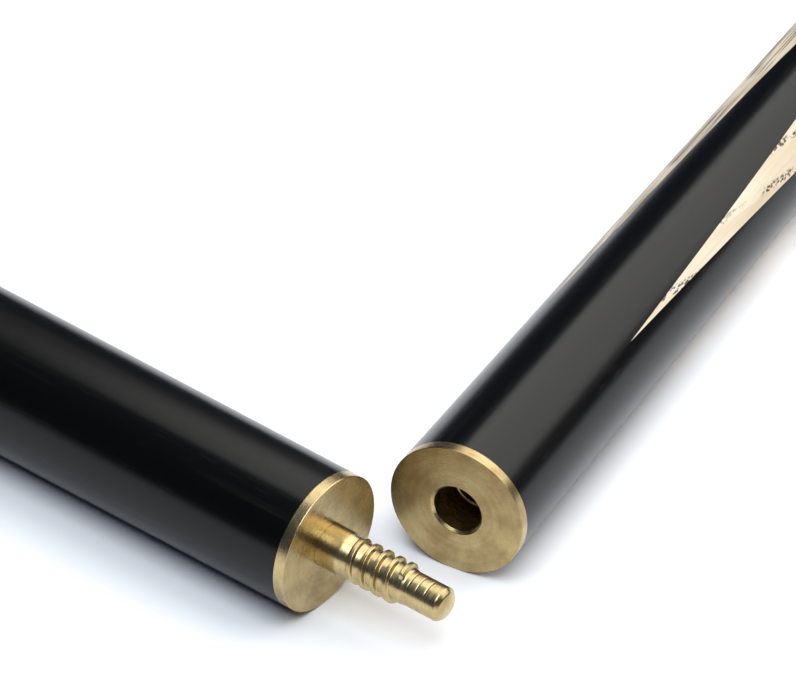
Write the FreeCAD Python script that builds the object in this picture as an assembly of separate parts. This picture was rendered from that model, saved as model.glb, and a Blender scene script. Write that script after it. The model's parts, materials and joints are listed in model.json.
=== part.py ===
"""Two-piece jointed cue, unscrewed and laid down: a long ash shaft section with four ebony splices and
a brass socket, and a short ebony butt section with a brass screw pin.

Every piece is first made in the cue's own assembled frame: the axis is X, the joint plane is at x = 0,
the tip lies towards +X and the butt towards -X. The shaft section is then laid on the table along +X.
The butt section is turned out of the socket, drawn back and swung aside, and lies beside the joint.
The row's origin is on the table under the centre of the shaft section's joint face, and +Z is up.
All sizes are in millimetres.
"""

import FreeCAD
import Part
import math
import os

from FreeCAD import Placement, Rotation, Vector

# Lengths, from the joint plane
SHAFT_LENGTH = 1042.0
BUTT_LENGTH = 406.0

# Outline of the two sections
JOINT_RADIUS = 13.0
TIP_RADIUS = 4.75
BUTT_RADIUS = 15.0
FERRULE_LENGTH = 10.0
LEATHER_HEIGHT = 4.6
LEATHER_EDGE_HEIGHT = 2.6
TENON_RADIUS = 3.8
BUMPER_THICKNESS = 8.0

# Splices: the ash core is a long four-sided spear, and four ebony planks are glued on its flats
SPLICE_TWIST = 1.6
BUTT_CORE_END = -290.0
SPLICE_TOOL_END = 260.0
WIDE_FLAT = (8.92, 0.0207)
NARROW_FLAT = (8.85, 0.0254)
FLAT_STATION = 48.0
TOOL_REACH = 30.0

# Brass socket in the shaft section
SOCKET_FLANGE = 2.0
SOCKET_SLEEVE_RADIUS = 6.5
SOCKET_SLEEVE_END = 32.0
MOUTH_CHAMFER = 0.5
COUNTERBORE_RADIUS = 4.6
COUNTERBORE_DEPTH = 8.4
PILOT_BORE_RADIUS = 3.5
PILOT_BORE_END = 29.0
DRILL_POINT = 1.2

# Brass pin and collar of the butt section
COLLAR_THICKNESS = 2.1
RUNNING_GAP = 0.02
STEM_RADIUS = 4.05
STEM_LENGTH = 4.3
ROOT_RADIUS = 3.35
FULL_DEPTH_AT = 8.6
THREAD_ROOT_END = 17.6
NOSE_START = 17.9
NOSE_RADIUS = 3.2
NOSE_END = 24.9
PIN_LENGTH = 26.1
NOSE_FLAT_RADIUS = 1.4
STUD_RADIUS = 3.0
STUD_LENGTH = 22.0
INSERT_RADIUS = 5.5
INSERT_LENGTH = 45.0

# Joint thread, right-handed
PITCH = 2.54
CREST_RADIUS = 4.1
CREST_WIDTH = 0.7
RIDGE_BASE_WIDTH = 1.3
MALE_THREAD = (5.4, 17.0)
SOCKET_MAJOR_RADIUS = 4.25
SOCKET_RIDGE_WIDTH = 0.85
SOCKET_RIDGE_BASE_WIDTH = 1.3
SOCKET_THREAD = (9.4, 18.6)
SOCKET_THREAD_END = 19.6
SOCKET_THREAD_PHASE = 90.8
RIDGE_SINK = 0.15

# Glue grooves on the brass that sits in the wood
GROOVE_DEPTH = 0.5
GROOVE_WIDTH = 1.5
GROOVE_PITCH = 5.5

# Weight bolt in the butt, with room to move along its bore
WEIGHT_BORE_RADIUS = 6.3
WEIGHT_RADIUS = 6.0
WEIGHT_LENGTH = 40.0
WEIGHT_START = 2.0
WEIGHT_SLOT = (1.6, 3.0)
PLUG_LENGTH = 18.0
BUMPER_EDGE = 1.8
BUMPER_FACE_RADIUS = 12.6
SCREW_RADIUS = 2.0
SCREW_HEAD_RADIUS = 4.0
SCREW_HEAD_HEIGHT = 2.6
SCREW_RECESS = 4.4
SCREW_LENGTH = 20.0
SCREW_SLOT = (1.0, 1.2)
WASHER_RADIUS = 4.8
WASHER_THICKNESS = 0.8

# How the butt section lies when it is apart from the shaft section
HOME_GAP = 0.05
PIN_CLEARANCE = 2.9
BUTT_FACE_AT = (-19.60, 14.74)
BUTT_HEADING = 80.506

AXIS = Vector(1, 0, 0)
DRAW_TRAVEL = PIN_LENGTH + PIN_CLEARANCE - HOME_GAP
TURN_TRAVEL = DRAW_TRAVEL / PITCH * 360.0
LEATHER_START = SHAFT_LENGTH - LEATHER_HEIGHT
FERRULE_START = LEATHER_START - FERRULE_LENGTH
WOOD_FRONT = -(COLLAR_THICKNESS + RUNNING_GAP)
WOOD_END = -(BUTT_LENGTH - BUMPER_THICKNESS)
SHAFT_SLOPE = (JOINT_RADIUS - TIP_RADIUS) / FERRULE_START
BUTT_SLOPE = (BUTT_RADIUS - JOINT_RADIUS) / -WOOD_END


def surface_radius(x):
    """Outer radius of the assembled cue's wood at x: two straight cones that meet at the joint."""
    if x >= 0:
        return JOINT_RADIUS - SHAFT_SLOPE * x
    return JOINT_RADIUS - BUTT_SLOPE * x


def profile(outline):
    """A flat face on one side of the cue's axis, from an outline of (x, radius) corners. A corner with
    four numbers ends an arc: (middle x, middle radius, x, radius)."""
    edges = []
    here = Vector(*outline[0], 0)
    for corner in outline[1:] + outline[:1]:
        there = Vector(*corner[-2:], 0)
        if len(corner) == 4:
            edges.append(Part.Arc(here, Vector(*corner[:2], 0), there).toShape())
        elif here.distanceToPoint(there) > 1e-9:
            edges.append(Part.LineSegment(here, there).toShape())
        here = there
    return Part.Face(Part.Wire(edges))


def turned(outline):
    """A solid turned about the cue's axis from a profile's outline."""
    return profile(outline).revolve(Vector(0, 0, 0), AXIS, 360)


def turned_in_quarters(outline):
    """As turned, but in four quarter turns, whose surfaces meet along the middle line of each splice."""
    quarters = []
    for k in range(4):
        quarter = profile(outline).revolve(Vector(0, 0, 0), AXIS, 90)
        quarter.rotate(Vector(0, 0, 0), AXIS, SPLICE_TWIST + 90 * k)
        quarters.append(quarter)
    return quarters[0].fuse(quarters[1:])


def rod(x0, x1, radius):
    """A plain cylinder on the cue's axis from x0 to x1."""
    return Part.makeCylinder(radius, x1 - x0, Vector(x0, 0, 0), AXIS)


def grooved(outline_start, outline_end, radius):
    """(x, radius) corners of a round part's side from one x to another, with a glue groove at each
    groove pitch."""
    step = math.copysign(1.0, outline_end - outline_start)
    corners = [(outline_start, radius)]
    count = int((abs(outline_end - outline_start) - GROOVE_WIDTH) // GROOVE_PITCH)
    for k in range(count):
        near = outline_start + step * (GROOVE_PITCH * (k + 1) - GROOVE_WIDTH)
        far = near + step * GROOVE_WIDTH
        floor = radius - GROOVE_DEPTH
        corners += [(near, radius), (near, floor), (far, floor), (far, radius)]
    return corners + [(outline_end, radius)]


def helical_ridge(start, end, base_radius, top_radius, base_width, top_width, phase):
    """A right-handed ridge of trapezoid section about the cue's axis. It starts at angle `phase`
    degrees, measured from +Y towards +Z, with the middle of its base at x = start."""
    helix = Part.makeHelix(PITCH, end - start, base_radius)
    corners = [
        Vector(base_radius, 0, -base_width / 2),
        Vector(top_radius, 0, -top_width / 2),
        Vector(top_radius, 0, top_width / 2),
        Vector(base_radius, 0, base_width / 2),
    ]
    section = Part.makePolygon(corners + corners[:1])
    ridge = Part.Wire(helix).makePipeShell([section], True, True)
    # Carries the helix's own frame, with its axis on Z and its start on +X, to the cue's axis
    to_axis = Rotation(Vector(0, 1, 0), Vector(0, 0, 1), Vector(1, 0, 0), "ZXY")
    to_phase = Rotation(AXIS, phase)
    ridge.Placement = Placement(Vector(start, 0, 0), to_phase * to_axis) * ridge.Placement
    return ridge


def flat_height(flat, x):
    """Distance from the axis to a splice's flat at x. The flat is (height at FLAT_STATION, slope)."""
    return flat[0] + flat[1] * (x - FLAT_STATION)


def plank_tool(flat, angle):
    """Everything on the outer side of one flat of the core, turned by an angle about the axis. Past
    the core's end in the butt the flat runs level."""
    level = flat_height(flat, BUTT_CORE_END)
    corners = [
        Vector(WOOD_END - 1, 0, level),
        Vector(BUTT_CORE_END, 0, level),
        Vector(SPLICE_TOOL_END, 0, flat_height(flat, SPLICE_TOOL_END)),
        Vector(SPLICE_TOOL_END, 0, TOOL_REACH),
        Vector(WOOD_END - 1, 0, TOOL_REACH),
    ]
    face = Part.Face(Part.makePolygon(corners + corners[:1]))
    face.translate(Vector(0, -TOOL_REACH, 0))
    tool = face.extrude(Vector(0, 2 * TOOL_REACH, 0))
    tool.rotate(Vector(0, 0, 0), AXIS, angle + SPLICE_TWIST)
    return tool


def spliced(wood):
    """Splits a wood blank into its ash core and its four ebony planks. The top and bottom planks are
    glued on last, over the edges of the two side planks."""
    over = {"top": plank_tool(WIDE_FLAT, 0), "bottom": plank_tool(WIDE_FLAT, 180)}
    under = {"left": plank_tool(NARROW_FLAT, -90), "right": plank_tool(NARROW_FLAT, 90)}
    planks = {name: wood.common(tool) for name, tool in over.items()}
    middle = wood.cut(over["top"]).cut(over["bottom"])
    planks.update({name: middle.common(tool) for name, tool in under.items()})
    core = middle.cut(under["left"]).cut(under["right"])
    return core, planks


def leather_tip():
    """Leather disc with a domed striking face."""
    crown = LEATHER_HEIGHT - LEATHER_EDGE_HEIGHT
    crown_radius = (TIP_RADIUS**2 + crown**2) / (2 * crown)
    half = math.asin(TIP_RADIUS / crown_radius) / 2
    middle_x = SHAFT_LENGTH - crown_radius * (1 - math.cos(half))
    outline = [
        (LEATHER_START, 0),
        (LEATHER_START, TIP_RADIUS),
        (LEATHER_START + LEATHER_EDGE_HEIGHT, TIP_RADIUS),
        (middle_x, crown_radius * math.sin(half), SHAFT_LENGTH, 0),
    ]
    return turned(outline)


def tip_ferrule():
    """Brass sleeve on the shaft's tenon."""
    return rod(FERRULE_START, LEATHER_START, TIP_RADIUS).cut(
        rod(FERRULE_START - 1, LEATHER_START + 1, TENON_RADIUS)
    )


def shaft_blank():
    """The shaft section's wood, tapered to the ferrule, with its tenon and the hole for the socket."""
    wood = turned_in_quarters(
        [
            (SOCKET_FLANGE, 0),
            (SOCKET_FLANGE, surface_radius(SOCKET_FLANGE)),
            (FERRULE_START, TIP_RADIUS),
            (FERRULE_START, TENON_RADIUS),
            (LEATHER_START, TENON_RADIUS),
            (LEATHER_START, 0),
        ]
    )
    return wood.cut(rod(SOCKET_FLANGE - 1, SOCKET_SLEEVE_END, SOCKET_SLEEVE_RADIUS))


def butt_blank():
    """The butt section's wood, with the hole for the pin's insert and the bore for the weight bolt."""
    wood = turned_in_quarters(
        [
            (WOOD_FRONT, 0),
            (WOOD_FRONT, surface_radius(WOOD_FRONT)),
            (WOOD_END, BUTT_RADIUS),
            (WOOD_END, 0),
        ]
    )
    wood = wood.cut(rod(WOOD_FRONT - INSERT_LENGTH, 0, INSERT_RADIUS))
    return wood.cut(rod(WOOD_END - 1, BUTT_CORE_END, WEIGHT_BORE_RADIUS))


def joint_socket():
    """Brass socket: a full-width flange, and a grooved sleeve with the counterbore, the thread and the
    pilot bore."""
    mouth = COUNTERBORE_RADIUS + MOUTH_CHAMFER
    bore = [
        (PILOT_BORE_END + DRILL_POINT, 0),
        (PILOT_BORE_END, PILOT_BORE_RADIUS),
        (SOCKET_THREAD_END, PILOT_BORE_RADIUS),
        (SOCKET_THREAD_END, SOCKET_MAJOR_RADIUS),
        (COUNTERBORE_DEPTH, SOCKET_MAJOR_RADIUS),
        (COUNTERBORE_DEPTH, COUNTERBORE_RADIUS),
        (MOUTH_CHAMFER, COUNTERBORE_RADIUS),
        (0, mouth),
    ]
    outside = [
        (0, JOINT_RADIUS),
        (SOCKET_FLANGE, surface_radius(SOCKET_FLANGE)),
        *grooved(SOCKET_FLANGE, SOCKET_SLEEVE_END, SOCKET_SLEEVE_RADIUS),
        (SOCKET_SLEEVE_END, 0),
    ]
    body = turned(bore + outside)
    ridge = helical_ridge(
        *SOCKET_THREAD,
        SOCKET_MAJOR_RADIUS + RIDGE_SINK,
        PILOT_BORE_RADIUS,
        SOCKET_RIDGE_BASE_WIDTH,
        SOCKET_RIDGE_WIDTH,
        SOCKET_THREAD_PHASE,
    )
    return body.fuse(ridge)


def joint_pin():
    """Brass screw pin: a stud in the insert, a plain stem, the thread and a domed nose."""
    dome_middle = (NOSE_END + 0.75, 2.5)
    outline = [
        (WOOD_FRONT - STUD_LENGTH, 0),
        (WOOD_FRONT - STUD_LENGTH, STUD_RADIUS),
        (WOOD_FRONT, STUD_RADIUS),
        (WOOD_FRONT, STEM_RADIUS),
        (STEM_LENGTH, STEM_RADIUS),
        (FULL_DEPTH_AT, ROOT_RADIUS),
        (THREAD_ROOT_END, ROOT_RADIUS),
        (NOSE_START, NOSE_RADIUS),
        (NOSE_END, NOSE_RADIUS),
        (*dome_middle, PIN_LENGTH, NOSE_FLAT_RADIUS),
        (PIN_LENGTH, 0),
    ]
    ridge = helical_ridge(
        *MALE_THREAD,
        ROOT_RADIUS - RIDGE_SINK,
        CREST_RADIUS,
        RIDGE_BASE_WIDTH,
        CREST_WIDTH,
        male_phase(),
    )
    return turned(outline).fuse(ridge)


def pin_insert():
    """Grooved brass insert in the butt section's wood, which the pin's stud is fixed in."""
    rear = WOOD_FRONT - INSERT_LENGTH
    outline = [(rear, 0), *grooved(rear, WOOD_FRONT, INSERT_RADIUS), (WOOD_FRONT, 0)]
    return turned(outline).cut(rod(WOOD_FRONT - STUD_LENGTH, 0, STUD_RADIUS))


def male_phase():
    """Start angle of the pin's ridge, so that with the joint home it runs midway between the turns of
    the socket's ridge."""
    turns_apart = (MALE_THREAD[0] - SOCKET_THREAD[0]) / PITCH + 0.5
    return SOCKET_THREAD_PHASE + 360.0 * turns_apart


def pin_collar():
    """Brass collar behind the pin's face, as wide as the wood."""
    return turned(
        [
            (0, STEM_RADIUS + RUNNING_GAP),
            (0, JOINT_RADIUS),
            (-COLLAR_THICKNESS, surface_radius(-COLLAR_THICKNESS)),
            (-COLLAR_THICKNESS, STEM_RADIUS + RUNNING_GAP),
        ]
    )


def weight_bolt():
    """Steel balance weight with a driver slot in its rear face."""
    front = BUTT_CORE_END - WEIGHT_START
    rear = front - WEIGHT_LENGTH
    outline = [(front, 0), *grooved(front, rear, WEIGHT_RADIUS), (rear, 0)]
    width, depth = WEIGHT_SLOT
    slot = Part.makeBox(depth, 2 * WEIGHT_RADIUS, width, Vector(rear, -WEIGHT_RADIUS, -width / 2))
    return turned(outline).cut(slot)


def rubber_bumper():
    """Rubber end bumper with a plug in the weight bore and a recess for its screw and washer."""
    end = -BUTT_LENGTH
    edge_middle = (end + 0.5, BUTT_RADIUS - 0.9)
    body = turned(
        [
            (WOOD_END + PLUG_LENGTH, 0),
            (WOOD_END + PLUG_LENGTH, WEIGHT_BORE_RADIUS),
            (WOOD_END, WEIGHT_BORE_RADIUS),
            (WOOD_END, BUTT_RADIUS),
            (end + BUMPER_EDGE, BUTT_RADIUS),
            (*edge_middle, end, BUMPER_FACE_RADIUS),
            (end, 0),
        ]
    )
    seat = end + SCREW_RECESS
    body = body.cut(rod(end - 1, seat, WASHER_RADIUS))
    return body.cut(rod(end, seat + SCREW_LENGTH, SCREW_RADIUS))


def bumper_washer():
    """Flat washer under the screw's head."""
    seat = -BUTT_LENGTH + SCREW_RECESS
    top = seat - WASHER_THICKNESS
    return rod(top, seat, WASHER_RADIUS).cut(rod(top - 1, seat + 1, SCREW_RADIUS))


def bumper_screw():
    """Slotted screw that holds the bumper."""
    under_head = -BUTT_LENGTH + SCREW_RECESS - WASHER_THICKNESS
    top = under_head - SCREW_HEAD_HEIGHT
    end = under_head + WASHER_THICKNESS + SCREW_LENGTH
    screw = rod(top, under_head, SCREW_HEAD_RADIUS).fuse(rod(under_head, end, SCREW_RADIUS))
    width, depth = SCREW_SLOT
    slot_corner = Vector(top, -SCREW_HEAD_RADIUS, -width / 2)
    return screw.cut(Part.makeBox(depth, 2 * SCREW_HEAD_RADIUS, width, slot_corner))


def shaft_placement():
    """Lays the shaft section on the table along +X: its lowest line touches, so its axis dips."""
    dip = math.atan(SHAFT_SLOPE)
    height = JOINT_RADIUS * math.cos(dip)
    return Placement(Vector(0, 0, height), Rotation(Vector(0, 1, 0), math.degrees(dip)))


def butt_lying_axis():
    """Centres of the butt section's joint face and end where it lies on the table, on its lowest
    line, apart from the shaft section."""
    rise = math.atan(BUTT_SLOPE)
    heading = math.radians(BUTT_HEADING)
    level = math.cos(rise)
    along = Vector(level * math.cos(heading), level * math.sin(heading), math.sin(rise))
    face = Vector(*BUTT_FACE_AT, JOINT_RADIUS * level)
    return face, face + along * BUTT_LENGTH


def facing_placement():
    """Holds the butt section in line with the socket, with its pin just clear of the mouth."""
    return shaft_placement() * Placement(AXIS * -(DRAW_TRAVEL + HOME_GAP), Rotation())


def swing():
    """The turn that carries the butt section from facing the socket to where it lies, as a point, an
    axis and an angle in degrees. The axis is the line where two planes meet, each midway between one
    end of the section in its first place and the same end in its second."""
    facing = [facing_placement().multVec(AXIS * -x) for x in (0.0, BUTT_LENGTH)]
    lying = butt_lying_axis()
    a, b = [there - here for here, there in zip(facing, lying)]
    p = a.dot((facing[0] + lying[0]) * 0.5)
    q = b.dot((facing[1] + lying[1]) * 0.5)
    axis = a.cross(b).normalize()
    if axis.z < 0:
        axis = -axis
    across = a.x * b.y - a.y * b.x
    point = Vector((p * b.y - q * a.y) / across, (q * a.x - p * b.x) / across, 0)
    arms = [spot - point for spot in (facing[0], lying[0])]
    first, second = [arm - axis * axis.dot(arm) for arm in arms]
    angle = math.degrees(math.atan2(axis.dot(first.cross(second)), first.dot(second)))
    return point, axis, angle


def butt_placement():
    """Takes the butt section from its home in the socket to where it lies: turned out, drawn back and
    swung aside."""
    turn = Placement(Vector(0, 0, 0), Rotation(AXIS, -TURN_TRAVEL))
    point, axis, angle = swing()
    return Placement(Vector(0, 0, 0), Rotation(axis, angle), point) * facing_placement() * turn


def build():
    """All pieces by node name, in the row's frame."""
    shaft_core, shaft_planks = spliced(shaft_blank())
    butt_core, butt_planks = spliced(butt_blank())
    shaft = {
        "leather_tip": leather_tip(),
        "tip_ferrule": tip_ferrule(),
        "ash_shaft": shaft_core,
        "joint_socket": joint_socket(),
        **{f"shaft_splice_{side}": plank for side, plank in shaft_planks.items()},
    }
    butt = {
        "joint_pin": joint_pin(),
        "pin_insert": pin_insert(),
        "butt_core": butt_core,
        **{f"butt_splice_{side}": plank for side, plank in butt_planks.items()},
        "pin_collar": pin_collar(),
        "weight_bolt": weight_bolt(),
        "rubber_bumper": rubber_bumper(),
        "bumper_screw": bumper_screw(),
        "bumper_washer": bumper_washer(),
    }
    pieces = {}
    for group, place in ((shaft, shaft_placement()), (butt, butt_placement())):
        for name, shape in group.items():
            shape.Placement = place * shape.Placement
            pieces[name] = shape
    return pieces


def main():
    os.makedirs("parts", exist_ok=True)
    for name, shape in build().items():
        if shape.ShapeType == "Compound" and len(shape.Solids) == 1:
            shape = shape.Solids[0]
        shape.exportStep(f"parts/{name}.step")
        print(name, len(shape.Solids), "solid(s)", round(shape.Volume, 1), "mm3", shape.isValid())


if __name__ == "__main__":
    main()
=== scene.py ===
"""A two-piece jointed cue, unscrewed at its brass joint and laid down: its surfaces, finishes and stage.

Every piece of the cue is worked out in the cue's own assembled frame, in metres: its axis is X, the
joint plane is at x = 0, the tip lies towards +X and the butt towards -X. A placement then carries it to
where that section lies.
"""

import json
import math

import bmesh
import bpy
import numpy as np
from bpy.props import FloatProperty, FloatVectorProperty, IntProperty, PointerProperty
from mathutils import Matrix, Vector


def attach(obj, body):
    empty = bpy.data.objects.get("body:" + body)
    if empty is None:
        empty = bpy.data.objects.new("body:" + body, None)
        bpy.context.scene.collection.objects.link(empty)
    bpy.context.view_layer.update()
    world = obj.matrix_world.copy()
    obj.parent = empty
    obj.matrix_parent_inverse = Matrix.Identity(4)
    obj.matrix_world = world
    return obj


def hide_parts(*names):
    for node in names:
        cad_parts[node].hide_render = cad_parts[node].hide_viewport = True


bl_info = {
    "name": "Jointed cue",
    "version": (1, 0, 0),
    "blender": (4, 5, 0),
    "location": "View3D > Sidebar > Cue",
    "description": "Builds a two-piece cue with a brass screw joint, unscrewed and laid down",
    "category": "Add Mesh",
}

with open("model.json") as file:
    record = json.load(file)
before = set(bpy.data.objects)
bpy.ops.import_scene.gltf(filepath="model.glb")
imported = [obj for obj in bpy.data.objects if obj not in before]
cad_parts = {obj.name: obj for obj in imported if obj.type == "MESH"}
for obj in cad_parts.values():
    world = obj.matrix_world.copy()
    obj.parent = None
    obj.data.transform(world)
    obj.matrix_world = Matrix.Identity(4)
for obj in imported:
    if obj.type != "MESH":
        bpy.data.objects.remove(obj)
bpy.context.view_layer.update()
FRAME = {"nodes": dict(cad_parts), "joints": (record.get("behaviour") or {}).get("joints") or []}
JOINTS = {joint["name"]: joint for joint in FRAME["joints"]}

SHAFT_BODY = "shaft_section"
BUTT_BODY = "butt_section"
COLLAR_BODY = "collar_ring"


def property_of(kind, **settings):
    """A function that makes properties of one kind from a name, a default and a description."""

    def make(name, default, description):
        return kind(name=name, default=default, description=description, **settings)

    return make


# Lengths and points are in metres, and a camera's sizes in millimetres. Colours are linear.
length = property_of(FloatProperty, unit="LENGTH", precision=5)
point = property_of(FloatVectorProperty, size=3, subtype="XYZ", unit="LENGTH")
camera_size = property_of(FloatProperty, unit="CAMERA")
colour = property_of(FloatVectorProperty, size=3, subtype="COLOR", min=0.0, max=1.0)
share = property_of(FloatProperty, subtype="FACTOR", min=0.0, max=1.0)
watts = property_of(FloatProperty, subtype="POWER")
radians = property_of(FloatProperty, subtype="ANGLE")


def degrees(name, default, description):
    """An angle property from a default in degrees."""
    return radians(name, math.radians(default), description)


class CueSizes(bpy.types.PropertyGroup):
    """Sizes of the cue's pieces."""

    joint_radius: length("Joint radius", 0.013, "Outer radius of the cue at its joint")
    tip_radius: length("Tip radius", 0.00475, "Radius of the ferrule and the leather tip")
    butt_radius: length("Butt radius", 0.015, "Radius of the cue at its butt end")
    shaft_length: length("Shaft length", 1.042, "From the joint to the top of the leather tip")
    butt_length: length("Butt length", 0.406, "From the joint to the end of the bumper")
    leather_height: length("Leather height", 0.0046, "Height of the leather tip")
    leather_edge: length("Leather edge", 0.0026, "Height of the leather tip's straight side")
    ferrule_length: length("Ferrule length", 0.010, "Length of the brass sleeve at the tip")
    tenon_radius: length("Tenon radius", 0.0038, "Radius of the wood inside the ferrule")
    bumper_thickness: length("Bumper thickness", 0.008, "Thickness of the rubber behind the wood")
    flange: length("Socket flange", 0.002, "Thickness of the socket's full-width flange")
    sleeve_radius: length("Sleeve radius", 0.0065, "Radius of the socket's sleeve in the wood")
    sleeve_end: length("Sleeve end", 0.032, "Depth of the socket's sleeve from the joint")
    mouth_radius: length("Mouth radius", 0.0051, "Radius of the socket's bevelled mouth")
    counterbore_radius: length("Counterbore radius", 0.0046, "Radius of the socket's first bore")
    counterbore_depth: length("Counterbore depth", 0.0084, "Depth of the socket's first bore")
    major_radius: length("Groove radius", 0.00425, "Radius at the bottom of the socket's thread")
    pilot_radius: length("Pilot radius", 0.0035, "Radius of the socket's narrow bore")
    pilot_end: length("Pilot end", 0.029, "Depth of the socket's narrow bore")
    drill_point: length("Drill point", 0.0012, "Depth of the cone at the narrow bore's end")
    relief_end: length("Relief end", 0.0196, "Where the wide bore ends behind the socket's thread")
    groove_depth: length("Groove depth", 0.0005, "Depth of the sleeve's glue grooves")
    groove_width: length("Groove width", 0.0015, "Width of the sleeve's glue grooves")
    groove_pitch: length("Groove pitch", 0.0055, "From one glue groove to the next")
    collar: length("Collar", 0.0021, "Thickness of the pin's collar")
    stem_radius: length("Stem radius", 0.00405, "Radius of the pin's plain stem")
    stem_length: length("Stem length", 0.0043, "Length of the pin's plain stem")
    root_radius: length("Root radius", 0.00335, "Radius of the pin between its threads")
    crest_radius: length("Crest radius", 0.0041, "Radius of the pin's thread")
    pitch: length("Pitch", 0.00254, "Advance of the thread in one turn")
    full_depth: length("Full depth", 0.0086, "Where the pin has narrowed to its root")
    root_end: length("Root end", 0.0176, "Where the pin's root ends")
    pin_thread_start: length("Pin thread start", 0.0054, "Where the pin's thread starts")
    pin_thread_end: length("Pin thread end", 0.0170, "Where the pin's thread ends")
    bore_thread_start: length("Bore thread start", 0.0094, "Where the socket's thread starts")
    bore_thread_end: length("Bore thread end", 0.0186, "Where the socket's thread ends")
    bore_ridge_top: length("Bore ridge top", 0.00085, "Width of the socket's ridge at its top")
    bore_ridge_base: length("Bore ridge base", 0.0013, "Width of the socket's ridge at its base")
    pin_ridge_top: length("Pin ridge top", 0.0006, "Width of the pin's ridge at its top")
    pin_ridge_base: length("Pin ridge base", 0.0014, "Width of the pin's ridge at its base")
    thread_phase: degrees("Thread phase", 90.8, "Where the socket's thread starts, from +Y towards +Z")
    nose_start: length("Nose start", 0.0179, "Where the pin's plain nose starts")
    nose_radius: length("Nose radius", 0.0032, "Radius of the pin's plain nose")
    nose_end: length("Nose end", 0.0249, "Where the pin's plain nose starts to round")
    pin_length: length("Pin length", 0.0261, "Length of the pin from the joint plane")
    stud_radius: length("Stud radius", 0.003, "Radius of the pin's stud in the insert")
    stud_length: length("Stud length", 0.022, "Length of the pin's stud in the insert")
    washer_depth: length("Washer depth", 0.0044, "Depth of the washer's seat in the bumper")
    washer_radius: length("Washer seat radius", 0.0048, "Radius of the washer's seat in the bumper")
    screw_radius: length("Screw hole radius", 0.002, "Radius of the bumper's screw hole")
    screw_depth: length("Screw hole depth", 0.020, "Depth of the screw hole from the washer's seat")
    plug_length: length("Plug length", 0.018, "Length of the bumper's plug in the wood")
    bumper_face: length("Bumper face", 0.0126, "Radius of the bumper's flat end")
    home_gap: length("Home gap", 0.00005, "Gap between the two faces with the joint home")
    splice_twist: degrees("Splice twist", 1.6, "How far the splices are turned about the cue's axis")
    sides: IntProperty(name="Sides", description="Steps around each turned piece", default=192, min=24)


class CueFinish(bpy.types.PropertyGroup):
    """Colours and surface qualities of the cue's materials."""

    ebony: colour("Ebony", (0.0018, 0.0018, 0.0015), "The splices' colour")
    ebony_streak: colour("Ebony streak", (0.0065, 0.0060, 0.0045), "The splices' faint lighter streaks")
    ebony_roughness: share("Ebony roughness", 0.20, "Roughness of the lacquered ebony")
    ash: colour("Ash", (0.63, 0.52, 0.375), "The ash between its growth rings")
    ash_pale: colour("Pale ash", (0.72, 0.63, 0.48), "The ash's lightest bands")
    ash_pore: colour("Ash pore", (0.055, 0.022, 0.008), "The filled pores along the growth rings")
    ash_roughness: share("Ash roughness", 0.34, "Roughness of the lacquered ash")
    brass: colour("Brass", (0.54, 0.43, 0.22), "The brass where it is clean")
    # Also painted shade where a piece's higher dullness stands in for a dark reflection, as on the
    # socket.
    brass_dark: colour("Dull brass", (0.30, 0.21, 0.095), "The brass where it has dulled")
    brass_roughness: share("Brass roughness", 0.24, "Roughness of the turned brass")
    leather: colour("Leather", (0.045, 0.12, 0.24), "The tip's chalked leather")
    rubber: colour("Rubber", (0.012, 0.012, 0.012), "The bumper's rubber")
    steel: colour("Steel", (0.55, 0.55, 0.56), "The screw, washer and weight")


class CueStage(bpy.types.PropertyGroup):
    """Floor, light and camera."""

    floor: colour("Floor", (0.92, 0.92, 0.93), "The floor's colour")
    floor_size: length("Floor size", 12.0, "Side of the square floor")
    ambient: colour("Ambient", (0.034, 0.042, 0.072), "The room's own dim light")
    box_power: watts("Softbox power", 41.0, "Power of the back softbox")
    box_at: point("Softbox place", (1.025, -0.67, 1.0), "The back softbox's middle")
    box_width: length("Softbox width", 2.05, "The back softbox's side along X")
    box_depth: length("Softbox depth", 2.46, "The back softbox's side along Y")
    box_tint: colour("Softbox tint", (1.0, 0.985, 0.955), "Colour of the back softbox")
    fill_power: watts("Fill power", 15.0, "Power of the overhead fill light")
    fill_at: point("Fill place", (-0.55, -0.10, 1.15), "The fill light's middle")
    fill_width: length("Fill width", 0.9, "The fill light's side")
    fill_tint: colour("Fill tint", (0.86, 0.93, 1.0), "Colour of the fill light")
    lens: camera_size("Lens", 291.64, "The camera's focal length")
    sensor: camera_size("Sensor", 36.0, "The camera's sensor width")
    distance: length("Camera distance", 1.18757, "From the camera to the point it looks at")
    far: length("Camera range", 20.0, "How far the camera sees")
    heading: degrees("Heading", 26.06, "The camera's compass direction, from +X towards +Y")
    pitch: degrees("Pitch", 37.638, "How far the camera looks down")
    roll: degrees("Roll", 3.069, "The camera's turn about its view")
    target: point("Target", (0.05363, 0.03933, 0.0), "The point on the floor that the camera looks at")


def sizes():
    """The scene's cue sizes."""
    return bpy.context.scene.cue_sizes


def finish():
    """The scene's cue finishes."""
    return bpy.context.scene.cue_finish


# ---- places


def shaft_slope():
    """How fast the shaft section narrows from the joint to the ferrule."""
    s = sizes()
    run = s.shaft_length - s.leather_height - s.ferrule_length
    return (s.joint_radius - s.tip_radius) / run


def butt_slope():
    """How fast the butt section widens from the joint to the bumper."""
    s = sizes()
    return (s.butt_radius - s.joint_radius) / (s.butt_length - s.bumper_thickness)


def surface_radius(x):
    """The cue's outer radius at x: two straight cones that meet at the joint."""
    return sizes().joint_radius - np.where(x >= 0, shaft_slope(), butt_slope()) * x


def shaft_place():
    """The shaft section lies on its lowest line: its axis dips by the taper's angle, and the joint
    face's centre stands one radius times that angle's cosine above the floor."""
    dip = math.atan(shaft_slope())
    height = sizes().joint_radius * math.cos(dip)
    return Matrix.Translation((0, 0, height)) @ Matrix.Rotation(dip, 4, "Y")


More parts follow.
